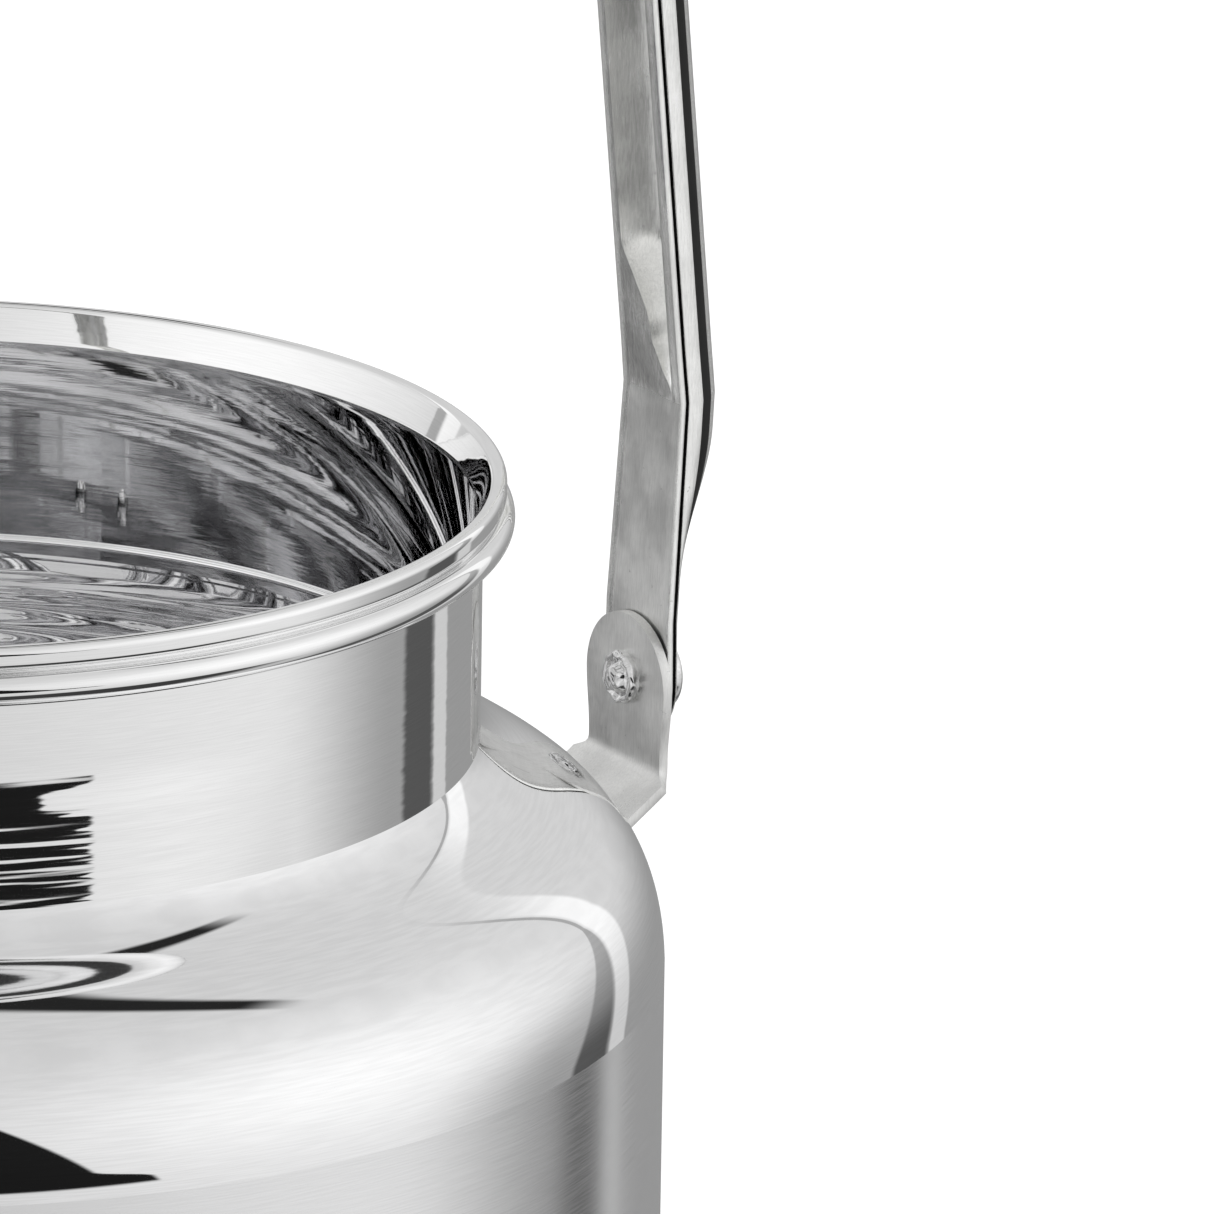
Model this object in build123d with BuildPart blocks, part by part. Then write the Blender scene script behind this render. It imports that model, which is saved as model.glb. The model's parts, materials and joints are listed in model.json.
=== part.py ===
from build123d import *
import os
from math import asin, cos, hypot, radians, sin

# A five-litre milk can of polished stainless sheet, open at the mouth, with a bail handle
# that swings on two riveted ears. Millimetres, +Z up, origin at the centre of the base.
# The bail's pivots lie along X.

os.makedirs("parts", exist_ok=True)

# can
sheet = 0.8
body_radius = 90.0
seam_z = 170.0
shoulder_height = 26.8
shoulder_root_run = 5.6
shoulder_root_drop = 8.6
shoulder_brow_run = 0.8
shoulder_brow_rise = 19.8
neck_radius = 68.4
neck_z = seam_z + shoulder_height

# the shoulder ends in an upright lip that stands inside the neck, soldered to it
lip_gap = 0.05
lip_height = 2.8
lip_round = 0.3
lap_taper = 0.3
lap_height = lip_height + 0.4

# rim of the neck: a flare, a folded top edge, a groove and a wired bead
flare_start = 26.6
flare_bend = 1.3
flare_turn = 24.0
flare_length = 3.5
edge_radius = 0.6
edge_height = 0.9
undercut_radius = 0.45
groove_radius = 0.625
bead_radius = 1.4
bead_turn = 255.0
wire_radius = 0.95

# base
shell_bottom = 2.6
foot_ring_height = 12.0
foot_ring_thickness = 1.4
foot_lip_inner = 86.4
foot_ring_round = 1.6
foot_lip_round = 0.8
plate_z = 9.0
plate_crown = 2.0
plate_crown_halfway = 1.5
plate_bend = 4.0
plate_flange_bottom = 3.4

# ear brackets, given for the one on +X
ear_x = 101.4
ear_thickness = 1.2
pivot_z = neck_z - 10.0
ear_radius = 8.4
ear_drop = 0.6
waist_width = 15.4
waist_fillet = 1.7
ear_bend_z = pivot_z - 10.6
leg_width = 19.2
leg_top = ear_bend_z - 0.4
flange_top = 167.6
flange_bottom = 153.6
flange_width = 31.0
flange_corner = 3.0
flange_fillet = 2.0
bend_radius = 2.0

# rivets
pivot_shank = 2.5
pivot_clearance = 0.05
pivot_head_radius = 4.6
pivot_head_side = 1.8
pivot_head_height = 2.8
pivot_tail_radius = 3.1
pivot_tail_height = 1.8
foot_rivet_shank = 1.6
foot_rivet_head = 2.9
foot_rivet_head_side = 0.1
foot_rivet_head_height = 1.3
foot_rivet_tail = 2.4
foot_rivet_tail_height = 0.9
foot_rivet_y = 9.5
foot_rivet_seat = 0.05
tail_flat = 0.7  # of the tail's radius
tail_shoulder = 0.5  # of the tail's height

# bail, given for the arm on +X; heights are above the pivot
strap_gap = 0.3
head_gap = 0.2
strap_thickness = 1.6
strap_radius = 6.9
strap_straight = 8.0
bend_x = 104.5
bend_height = 34.7
arm_lean = 5.6
arm_top = 98.0
corner_radius = 48.0
crown_angle = 20.0
channel_half_width = 6.2
channel_depth = 7.6
ramp_length = 16.0
channel_overlap = 1.0
strap_top_half_width = 6.6
hump_inset = 0.5
hump_heights = (27.0, 21.5, 17.0, 13.0)
hump_depths = (6.2, 5.0, 3.4, 1.4)


def save(builder, name):
    """Label the finished piece and write it under its own name."""
    builder.part.label = name
    export_step(builder.part, f"parts/{name}.step")


def foot_rivet_planes():
    """The two rivet places on the right-hand flange, each facing straight out from the body."""
    planes = []
    for side in (-1, 1):
        angle = asin(side * foot_rivet_y / body_radius)
        outward = Vector(cos(angle), sin(angle), 0)
        height = Vector(0, 0, (flange_bottom + flange_top) / 2)
        planes.append(Plane(outward * body_radius + height, x_dir=(0, 0, 1), z_dir=outward))
    return planes


# ---------------------------------------------------------------- can body

with BuildPart() as body_shell:
    with BuildSketch(Plane.XY.offset(shell_bottom)):
        Circle(body_radius)
        Circle(body_radius - sheet, mode=Mode.SUBTRACT)
    extrude(amount=seam_z - shell_bottom)
    # each rivet hole on +X lies straight across from one on -X, so one drill makes both
    for plane in foot_rivet_planes():
        with BuildSketch(plane):
            Circle(foot_rivet_shank)
        extrude(amount=-(2 * body_radius + sheet), mode=Mode.SUBTRACT)
save(body_shell, "body_shell")

with BuildPart() as bottom_plate:
    with BuildSketch(Plane.XZ):
        with BuildLine():
            flange_x = body_radius - sheet
            crown = ThreePointArc(
                (0, plate_z + plate_crown),
                (flange_x / 2, plate_z + plate_crown_halfway),
                (flange_x - plate_bend, plate_z),
            )
            RadiusArc(crown @ 1, (flange_x, plate_z - plate_bend), plate_bend)
            Line((flange_x, plate_z - plate_bend), (flange_x, plate_flange_bottom))
            offset(amount=sheet, side=Side.RIGHT)
        make_face()
    revolve(axis=Axis.Z)
save(bottom_plate, "bottom_plate")

with BuildPart() as foot_ring:
    with BuildSketch(Plane.XZ) as ring_section:
        with BuildLine():
            ring_outer = body_radius + foot_ring_thickness
            Polyline(
                (foot_lip_inner, 0),
                (ring_outer, 0),
                (ring_outer, foot_ring_height),
                (body_radius, foot_ring_height),
                (body_radius, shell_bottom),
                (foot_lip_inner, shell_bottom),
                close=True,
            )
        make_face()
        base_corners = ring_section.vertices().group_by(Axis.Y)[0].sort_by(Axis.X)
        top_corners = ring_section.vertices().group_by(Axis.Y)[-1].sort_by(Axis.X)
        fillet(base_corners[-1], foot_ring_round)
        fillet(base_corners[0], foot_lip_round)
        fillet(top_corners[-1], foot_lip_round)
    revolve(axis=Axis.Z)
save(foot_ring, "foot_ring")

with BuildPart() as shoulder:
    with BuildSketch(Plane.XZ):
        with BuildLine():
            root_slope = hypot(shoulder_root_run, shoulder_root_drop)
            root = Vector(neck_radius + shoulder_root_run, neck_z - shoulder_root_drop)
            inward = Vector(-shoulder_root_drop, -shoulder_root_run) * (sheet / root_slope)
            outside = Bezier(
                (neck_radius, neck_z),
                root,
                (body_radius - shoulder_brow_run, seam_z + shoulder_brow_rise),
                (body_radius, seam_z),
            )
            inside = Bezier(
                (neck_radius, neck_z - sheet * root_slope / shoulder_root_run),
                root + inward,
                (body_radius - shoulder_brow_run - sheet, seam_z + shoulder_brow_rise),
                (body_radius - sheet, seam_z),
            )
            Line(outside @ 1, inside @ 1)
            lip_outer = neck_radius - sheet - lip_gap
            lip_inner = lip_outer - sheet
            lip_foot = (inside @ 0).Y + (neck_radius - lip_inner) * shoulder_root_drop / shoulder_root_run
            lip_top = neck_z + lip_height
            FilletPolyline(
                (neck_radius, neck_z),
                (lip_outer, neck_z),
                (lip_outer, lip_top),
                (lip_inner, lip_top),
                (lip_inner, lip_foot),
                inside @ 0,
                radius=(0, lip_round, lip_round, 0),
            )
        make_face()
    revolve(axis=Axis.Z)
save(shoulder, "shoulder")

with BuildPart() as neck_collar:
    with BuildSketch(Plane.XZ):
        with BuildLine():
            middle = neck_radius - sheet / 2
            wall = Line((middle, neck_z), (middle, neck_z + flare_start))
            root = JernArc(wall @ 1, (0, 1), flare_bend, -flare_turn)
            flare = Line(root @ 1, root @ 1 + root % 1 * flare_length)
            fold = JernArc(flare @ 1, flare % 1, edge_radius, flare_turn - 180)
            edge = Line(fold @ 1, fold @ 1 + fold % 1 * edge_height)
            undercut = JernArc(edge @ 1, edge % 1, undercut_radius, -90)
            groove = JernArc(undercut @ 1, undercut % 1, groove_radius, 180)
            curl = JernArc(groove @ 1, groove % 1, bead_radius, -bead_turn)
            offset(amount=sheet / 2, side=Side.BOTH, kind=Kind.ARC)
        make_face()
        # the lower end is cut square, and tapered inside to slip over the shoulder's lip
        with Locations((middle, neck_z)):
            Rectangle(2 * sheet, sheet, align=(Align.CENTER, Align.MAX), mode=Mode.SUBTRACT)
        bore = neck_radius - sheet
        Polygon(
            (bore, neck_z + lap_height),
            (bore - sheet, neck_z),
            (bore + lap_taper, neck_z),
            align=None,
            mode=Mode.SUBTRACT,
        )
    revolve(axis=Axis.Z)
save(neck_collar, "neck_collar")

# the wire lies in the middle of the curl
curl_centre = curl.arc_center
with BuildPart() as rim_wire:
    with BuildSketch(Plane.XZ):
        with Locations((curl_centre.X, curl_centre.Y)):
            Circle(wire_radius)
    revolve(axis=Axis.Z)
save(rim_wire, "rim_wire")

# ---------------------------------------------------------------- ear brackets

# a flange curved to the body, a leg leaning outwards, and an upright flat ear
with BuildPart() as ear_bracket_right:
    with BuildSketch(Plane.XZ):
        with BuildLine():
            FilletPolyline(
                (body_radius, flange_bottom),
                (body_radius, flange_top),
                (ear_x, ear_bend_z),
                (ear_x, pivot_z - ear_radius),
                radius=bend_radius,
            )
            offset(amount=ear_thickness, side=Side.RIGHT)
        make_face()
    revolve(axis=Axis.Z)
    with BuildSketch(Plane.YZ.offset(ear_x)):
        with Locations((0, pivot_z)):
            Rectangle(2 * waist_width, 2 * ear_radius)
    extrude(amount=ear_thickness)
    with BuildSketch(Plane.YZ) as outline:
        with Locations((0, pivot_z - ear_drop)):
            Circle(ear_radius)
        with Locations((0, flange_bottom)):
            Rectangle(waist_width, pivot_z - ear_drop - flange_bottom, align=(Align.CENTER, Align.MIN))
            Rectangle(leg_width, leg_top - flange_bottom, align=(Align.CENTER, Align.MIN))
            Rectangle(flange_width, flange_top - flange_bottom, align=(Align.CENTER, Align.MIN))
        flange_level = outline.vertices().filter_by(lambda v: v.Y < flange_top + sheet)
        flange_corners = flange_level.sort_by(lambda v: abs(v.X))
        fillet(flange_corners[-4:], flange_corner)
        fillet(outline.vertices().sort_by(lambda v: abs(v.Y - flange_top) + abs(v.X))[:2], flange_fillet)
        fillet(outline.vertices().sort_by(lambda v: abs(v.Y - leg_top) + abs(v.X))[:2], waist_fillet)
    extrude(amount=ear_x + 2 * ear_thickness, mode=Mode.INTERSECT)
    with BuildSketch(Plane.YZ.offset(ear_x)):
        with Locations((0, pivot_z)):
            Circle(pivot_shank)
    extrude(amount=ear_thickness, mode=Mode.SUBTRACT)
    for plane in foot_rivet_planes():
        with BuildSketch(plane):
            Circle(foot_rivet_shank)
        extrude(amount=2 * ear_thickness, both=True, mode=Mode.SUBTRACT)
save(ear_bracket_right, "ear_bracket_right")

with BuildPart() as ear_bracket_left:
    mirror(ear_bracket_right.part, about=Plane.YZ)
save(ear_bracket_left, "ear_bracket_left")

# ---------------------------------------------------------------- rivets


def rivet(plane, shank, reach, tail, head):
    """A rivet along the plane's normal; reach is how far the shank runs below and above the plane,
    tail is a radius and a height, and head a radius, the height of its side and its whole height."""
    below, above = reach
    tail_radius, tail_height = tail
    head_radius, head_side, head_height = head
    dome_height = head_height - head_side
    section_plane = Plane(plane.origin, x_dir=plane.x_dir, z_dir=-plane.y_dir)
    with BuildPart() as one_rivet:
        with BuildSketch(section_plane):
            with BuildLine():
                Polyline(
                    (0, above + head_height),
                    (0, -below - tail_height),
                    (tail_radius * tail_flat, -below - tail_height),
                    (tail_radius, -below - tail_height * tail_shoulder),
                    (tail_radius, -below),
                    (shank, -below),
                    (shank, above),
                    (head_radius, above),
                    (head_radius, above + head_side),
                )
                RadiusArc(
                    (head_radius, above + head_side),
                    (0, above + head_height),
                    -(head_radius**2 + dome_height**2) / (2 * dome_height),
                )
            make_face()
        revolve(axis=Axis(plane.origin, plane.z_dir))
    return one_rivet


def save_rivet_pair(builder, kind, place=""):
    """Write a rivet of the right-hand side, and its mirror image on the left."""
    save(builder, f"{kind}_right{place}")
    with BuildPart() as left:
        mirror(builder.part, about=Plane.YZ)
    save(left, f"{kind}_left{place}")


pivot_plane = Plane((ear_x, 0, pivot_z), x_dir=(0, 0, 1), z_dir=(1, 0, 0))
pivot_rivet = rivet(
    pivot_plane,
    pivot_shank,
    (0, ear_thickness + strap_gap + strap_thickness + head_gap),
    (pivot_tail_radius, pivot_tail_height),
    (pivot_head_radius, pivot_head_side, pivot_head_height),
)
save_rivet_pair(pivot_rivet, "pivot_rivet")

for plane, place in zip(foot_rivet_planes(), ("_front", "_rear")):
    foot_rivet = rivet(
        plane,
        foot_rivet_shank,
        (sheet + foot_rivet_seat, ear_thickness),
        (foot_rivet_tail, foot_rivet_tail_height),
        (foot_rivet_head, foot_rivet_head_side, foot_rivet_head_height),
    )
    save_rivet_pair(foot_rivet, "bracket_rivet", place)

# ---------------------------------------------------------------- bail

# in every section of the bail x runs across it and y points outwards from its flat inner face
strap_x = ear_x + ear_thickness + strap_gap
lean = radians(arm_lean)
arm_up = Vector(-sin(lean), 0, cos(lean))
arm_outward = Vector(cos(lean), 0, sin(lean))
bend = Vector(bend_x, 0, pivot_z + bend_height)
channel_start = bend - arm_up * channel_overlap
bend_plane = Plane(bend, x_dir=(0, 1, 0), z_dir=-arm_up)
channel_plane = Plane(channel_start, x_dir=(0, 1, 0), z_dir=-arm_up)


def arch(half_width, depth, foot=0):
    """The curve of a section's back, a cubic whose crest stands at the given depth."""
    handle = foot + (depth - foot) * 4 / 3
    return Bezier(
        (half_width, foot), (half_width, handle), (-half_width, handle), (-half_width, foot)
    )


# a solid filling that ramps from the bend to the floor of the open channel above it
with BuildPart() as ramp:
    with BuildSketch(channel_plane):
        with BuildLine():
            filling = arch(channel_half_width - sheet / 2, channel_depth - sheet / 2)
            Line(filling @ 0, filling @ 1)
        make_face()
    extrude(amount=-ramp_length)
    slope = Plane(bend, x_dir=(0, 1, 0), z_dir=arm_outward * ramp_length - arm_up * channel_depth)
    split(bisect_by=slope, keep=Keep.TOP)

with BuildPart() as bail_handle:
    # the flat strap that hangs on the pivot
    with BuildSketch(Plane.XZ):
        with BuildLine():
            Polyline(
                (strap_x, pivot_z - strap_radius),
                (strap_x, pivot_z + strap_straight),
                (bend_x, pivot_z + bend_height),
            )
            offset(amount=strap_thickness, side=Side.RIGHT)
        make_face()
    extrude(amount=strap_radius, both=True)
    with BuildSketch(Plane.YZ):
        with Locations((0, pivot_z)):
            Circle(strap_radius)
            Polygon(
                (-strap_radius, 0),
                (strap_radius, 0),
                (strap_top_half_width, bend_height),
                (-strap_top_half_width, bend_height),
                align=None,
            )
    extrude(amount=bend_x + 2 * strap_thickness, mode=Mode.INTERSECT)
    # the channel's back fades into the strap below the bend; its sections rise from mid strap
    with BuildSketch(bend_plane):
        with BuildLine():
            back = arch(channel_half_width - hump_inset, channel_depth - hump_inset, sheet)
            Line(back @ 0, back @ 1)
        make_face()
    for height, depth in zip(hump_heights, hump_depths):
        below_bend = bend_height - height
        inner_face = bend_x - (bend_x - strap_x) * below_bend / (bend_height - strap_straight)
        widening = (strap_radius - strap_top_half_width) * below_bend / bend_height
        with BuildSketch(Plane((inner_face, 0, pivot_z + height), x_dir=(0, 1, 0), z_dir=(0, 0, -1))):
            with BuildLine():
                back = arch(strap_top_half_width + widening - hump_inset, depth, sheet)
                Line(back @ 0, back @ 1)
            make_face()
    loft()
    with BuildSketch(Plane.YZ.offset(strap_x)):
        with Locations((0, pivot_z)):
            Circle(pivot_shank + pivot_clearance)
    extrude(amount=strap_thickness, mode=Mode.SUBTRACT)
    add(ramp.part)
    # the open channel: a leaning arm, a wide corner and a low crown that ends at the middle
    with BuildLine(Plane.XZ) as arm_path:
        arm = Line(channel_start, bend + arm_up * ((arm_top - bend_height) / cos(lean)))
        corner = JernArc(arm @ 1, arm % 1, corner_radius, 90 - arm_lean - crown_angle)
        crown_radius = (corner @ 1).X / sin(radians(crown_angle))
        JernArc(corner @ 1, corner % 1, crown_radius, crown_angle)
    with BuildSketch(channel_plane):
        with BuildLine():
            outside = arch(channel_half_width, channel_depth)
            inside = arch(channel_half_width - sheet, channel_depth - sheet)
            Line(outside @ 0, inside @ 0)
            Line(outside @ 1, inside @ 1)
        make_face()
    sweep(path=arm_path.line)
    mirror(about=Plane.YZ)
save(bail_handle, "bail_handle")
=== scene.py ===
import json
from math import asin, atan, cos, degrees, pi, radians, sin, sqrt, tan

import bmesh
import bpy
import numpy as np
from mathutils import Matrix, Vector

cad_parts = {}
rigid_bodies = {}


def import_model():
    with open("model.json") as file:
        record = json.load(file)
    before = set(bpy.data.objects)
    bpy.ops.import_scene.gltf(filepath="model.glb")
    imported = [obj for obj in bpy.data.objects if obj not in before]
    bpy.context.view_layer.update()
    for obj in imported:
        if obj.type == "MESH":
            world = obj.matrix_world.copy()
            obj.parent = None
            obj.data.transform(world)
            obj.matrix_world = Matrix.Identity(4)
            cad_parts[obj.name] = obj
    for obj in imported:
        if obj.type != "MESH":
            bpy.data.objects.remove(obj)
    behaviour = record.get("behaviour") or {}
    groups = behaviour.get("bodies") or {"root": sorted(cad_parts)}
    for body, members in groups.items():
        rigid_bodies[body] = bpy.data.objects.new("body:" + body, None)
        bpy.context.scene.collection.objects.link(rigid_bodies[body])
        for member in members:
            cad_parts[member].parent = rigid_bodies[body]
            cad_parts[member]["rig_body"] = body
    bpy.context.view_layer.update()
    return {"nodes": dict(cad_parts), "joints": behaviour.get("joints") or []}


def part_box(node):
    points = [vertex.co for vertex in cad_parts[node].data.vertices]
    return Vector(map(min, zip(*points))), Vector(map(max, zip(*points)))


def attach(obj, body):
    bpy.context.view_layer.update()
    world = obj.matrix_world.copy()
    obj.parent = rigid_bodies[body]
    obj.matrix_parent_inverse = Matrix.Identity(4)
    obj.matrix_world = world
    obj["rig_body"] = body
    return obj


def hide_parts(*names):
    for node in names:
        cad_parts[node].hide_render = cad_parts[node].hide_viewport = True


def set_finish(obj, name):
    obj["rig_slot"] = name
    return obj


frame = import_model()

# ---------------------------------------------------------------- sizes, in metres

MM = 0.001
SHEET = 0.8 * MM
BODY_LOW, BODY_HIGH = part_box("body_shell")
BODY_R = BODY_HIGH.x
SEAM_Z = BODY_HIGH.z
LIP_HEIGHT = 2.8 * MM
LIP_GAP = 0.05 * MM
LIP_ROUND = 0.3 * MM
NECK_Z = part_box("shoulder")[1].z - LIP_HEIGHT
NECK_R = 68.4 * MM
PIVOT_Z = frame["joints"][0]["pos_m"][2]
PIVOT_TAIL = 1.8 * MM
EAR_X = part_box("pivot_rivet_right")[0].x + PIVOT_TAIL
EAR_THICK = 1.2 * MM
STRAP_GAP = 0.3 * MM
STRAP_X = EAR_X + EAR_THICK + STRAP_GAP
STRAP_THICK = 1.6 * MM
STRAP_R = 6.9 * MM

CAMERA_AZIMUTH = -30.0
CAMERA_ELEVATION = 17.65
CAMERA_DISTANCE = 1.610
CAMERA_LENS = 415.2
CAMERA_YAW = 2.952
CAMERA_PITCH = 0.485
ROUND_STEPS = 384


# ---------------------------------------------------------------- mesh helpers


def finish_mesh(name, verts, faces, body, slot, materials, crease=35.0, kinds=None):
    """A smooth-shaded mesh piece that rides on a body, sharp where faces turn more than crease degrees.
    kinds gives each face's place in the list of materials."""
    mesh = bpy.data.meshes.new(name)
    mesh.from_pydata([tuple(v) for v in verts], [], faces)
    for material in materials:
        mesh.materials.append(material)
    if kinds:
        mesh.polygons.foreach_set("material_index", kinds)
    mesh.validate()
    bm = bmesh.new()
    bm.from_mesh(mesh)
    bmesh.ops.remove_doubles(bm, verts=bm.verts, dist=1e-7)
    bmesh.ops.dissolve_degenerate(bm, edges=bm.edges, dist=1e-8)
    bmesh.ops.recalc_face_normals(bm, faces=bm.faces)
    bm.to_mesh(mesh)
    bm.free()
    mesh.polygons.foreach_set("use_smooth", [True] * len(mesh.polygons))
    mesh.set_sharp_from_angle(angle=radians(crease))
    piece = bpy.data.objects.new(name, mesh)
    bpy.context.scene.collection.objects.link(piece)
    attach(piece, body)
    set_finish(piece, slot)
    return piece


def ring_mesh(outline, steps=ROUND_STEPS):
    """Points and faces of a ring turned about Z from a closed outline of (r, z) points."""
    points = np.array(outline)
    count = len(points)
    angles = np.arange(steps) * 2 * pi / steps
    verts = np.empty((steps, count, 3))
    verts[:, :, 0] = np.cos(angles)[:, None] * points[:, 0]
    verts[:, :, 1] = np.sin(angles)[:, None] * points[:, 0]
    verts[:, :, 2] = points[:, 1]
    faces = []
    for i in range(steps):
        near, far = i * count, (i + 1) % steps * count
        for j in range(count):
            k = (j + 1) % count
            faces.append((near + j, far + j, far + k, near + k))
    return verts.reshape(-1, 3), faces


def lathe(name, outline, outside, first_inner, crease=35.0):
    """A turned sheet piece of the can; its outline's points from first_inner on face inwards."""
    verts, faces = ring_mesh(outline)
    kinds = [int(j >= first_inner) for j in range(len(outline))] * ROUND_STEPS
    metals = [outside, INSIDE_STEEL]
    return finish_mesh(name, verts, faces, "can", "polished_steel", metals, crease, kinds)


def bezier(points, count):
    """Points along a cubic Bezier curve."""
    p = np.array(points, float)
    t = np.linspace(0, 1, count)[:, None]
    s = 1 - t
    return s**3 * p[0] + 3 * s**2 * t * p[1] + 3 * s * t**2 * p[2] + t**3 * p[3]


def turn_path(start, heading, moves, step=2.5):
    """Points of a path of straight runs (length, 0) and arcs (radius, turn), turns in degrees."""
    x, z = start
    a = radians(heading)
    points = [(x, z)]
    for size, turn in moves:
        if turn == 0:
            x, z = x + size * cos(a), z + size * sin(a)
            points.append((x, z))
            continue
        side = 1 if turn > 0 else -1
        cx, cz = x - side * size * sin(a), z + side * size * cos(a)
        parts = max(2, int(abs(turn) / step))
        for i in range(1, parts + 1):
            b = a + radians(turn) * i / parts
            points.append((cx + side * size * sin(b), cz - side * size * cos(b)))
        a += radians(turn)
        x, z = points[-1]
    return np.array(points)


def thicken(path, half, round_end=6):
    """A closed outline of a sheet whose middle is the path, with a rounded far end."""
    d = np.gradient(path, axis=0)
    d /= np.linalg.norm(d, axis=1)[:, None]
    normal = np.stack([-d[:, 1], d[:, 0]], axis=1)
    left, right = path + normal * half, path - normal * half
    cap = []
    for i in range(1, round_end):
        a = pi / 2 - pi * i / round_end
        cap.append(path[-1] + half * (d[-1] * cos(a) + normal[-1] * sin(a)))
    return np.concatenate([left, np.array(cap), right[::-1]])


def cut_hole(piece, centre, axis, radius, depth):
    """Drills a round hole through a piece."""
    mesh = bpy.data.meshes.new("drill")
    bm = bmesh.new()
    turn = Vector((0, 0, 1)).rotation_difference(Vector(axis)).to_matrix().to_4x4()
    bmesh.ops.create_cone(
        bm, cap_ends=True, segments=64, radius1=radius, radius2=radius, depth=depth,
        matrix=Matrix.Translation(centre) @ turn,
    )
    bm.to_mesh(mesh)
    bm.free()
    drill = bpy.data.objects.new("drill", mesh)
    bpy.context.scene.collection.objects.link(drill)
    cut = piece.modifiers.new("hole", "BOOLEAN")
    cut.operation = "DIFFERENCE"
    cut.solver = "EXACT"
    cut.object = drill
    apply_modifiers(piece)
    bpy.data.objects.remove(drill)


def apply_modifiers(piece):
    """Bakes a piece's modifiers into its mesh."""
    bpy.context.view_layer.update()
    graph = bpy.context.evaluated_depsgraph_get()
    mesh = bpy.data.meshes.new_from_object(piece.evaluated_get(graph))
    piece.modifiers.clear()
    piece.data = mesh


def mirrored(piece, name):
    """The same piece on the other side of the can."""
    mesh = piece.data.copy()
    mesh.transform(Matrix.Scale(-1, 4, (1, 0, 0)))
    mesh.flip_normals()
    twin = bpy.data.objects.new(name, mesh)
    bpy.context.scene.collection.objects.link(twin)
    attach(twin, piece["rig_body"])
    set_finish(twin, piece["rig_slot"])
    return twin


# ---------------------------------------------------------------- materials


class Nodes:
    """A short way to write a node tree."""

    def __init__(self, tree):
        self.tree = tree
        tree.nodes.clear()

    def add(self, kind, inputs=None, **settings):
        node = self.tree.nodes.new(kind)
        for key, value in settings.items():
            setattr(node, key, value)
        for key, value in (inputs or {}).items():
            self.put(node, key, value)
        return node

    def put(self, node, key, value):
        if isinstance(value, bpy.types.NodeSocket):
            self.tree.links.new(value, node.inputs[key])
        else:
            node.inputs[key].default_value = value

    def math(self, operation, a, b=0.0, c=0.0, clamp=False):
        node = self.add("ShaderNodeMath", {0: a, 1: b, 2: c}, operation=operation)
        node.use_clamp = clamp
        return node.outputs[0]

    def ramp(self, value, low, high, out_low=0.0, out_high=1.0, smooth=True):
        node = self.add(
            "ShaderNodeMapRange",
            {0: value, 1: low, 2: high, 3: out_low, 4: out_high},
            interpolation_type="SMOOTHSTEP" if smooth else "LINEAR",
        )
        return node.outputs[0]

    def mix(self, factor, a, b):
        node = self.add("ShaderNodeMix", {0: factor, 6: a, 7: b}, data_type="RGBA")
        return node.outputs[2]

    def noise(self, vector, scale, detail=2.0, roughness=0.5):
        node = self.add(
            "ShaderNodeTexNoise",
            {"Vector": vector, "Scale": scale, "Detail": detail, "Roughness": roughness},
        )
        return node.outputs[0]

    def place(self, scale=(1, 1, 1)):
        """Object coordinates in millimetres, stretched by scale."""
        where = self.add("ShaderNodeTexCoord").outputs["Object"]
        size = [s / MM for s in scale]
        return self.add("ShaderNodeMapping", {"Vector": where, "Scale": size}).outputs[0]

    def round_place(self):
        """Angle about Z, height and radius of a point, in radians and millimetres."""
        where = self.add("ShaderNodeTexCoord").outputs["Object"]
        xyz = self.add("ShaderNodeSeparateXYZ", {0: where})
        angle = self.math("ARCTAN2", xyz.outputs[1], xyz.outputs[0])
        height = self.math("MULTIPLY", xyz.outputs[2], 1 / MM)
        square = self.math("MULTIPLY", xyz.outputs[0], xyz.outputs[0])
        square = self.math("MULTIPLY_ADD", xyz.outputs[1], xyz.outputs[1], square)
        radius = self.math("MULTIPLY", self.math("SQRT", square), 1 / MM)
        return angle, height, radius

    def times(self, a, b):
        """The product of two values."""
        return self.math("MULTIPLY", a, b)

    def vector(self, x, y, z):
        return self.add("ShaderNodeCombineXYZ", {0: x, 1: y, 2: z}).outputs[0]

    def bump(self, height, strength, distance, normal=None):
        inputs = {"Height": height, "Strength": strength, "Distance": distance}
        if normal is not None:
            inputs["Normal"] = normal
        return self.add("ShaderNodeBump", inputs).outputs[0]


def steel(name, build):
    """A metal material; build(nodes) gives its varying inputs."""
    material = bpy.data.materials.new(name)
    material.use_nodes = True
    nodes = Nodes(material.node_tree)
    shader = nodes.add("ShaderNodeBsdfPrincipled", {"Metallic": 1.0, **build(nodes)})
    nodes.add("ShaderNodeOutputMaterial", {0: shader.outputs[0]})
    return material


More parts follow.
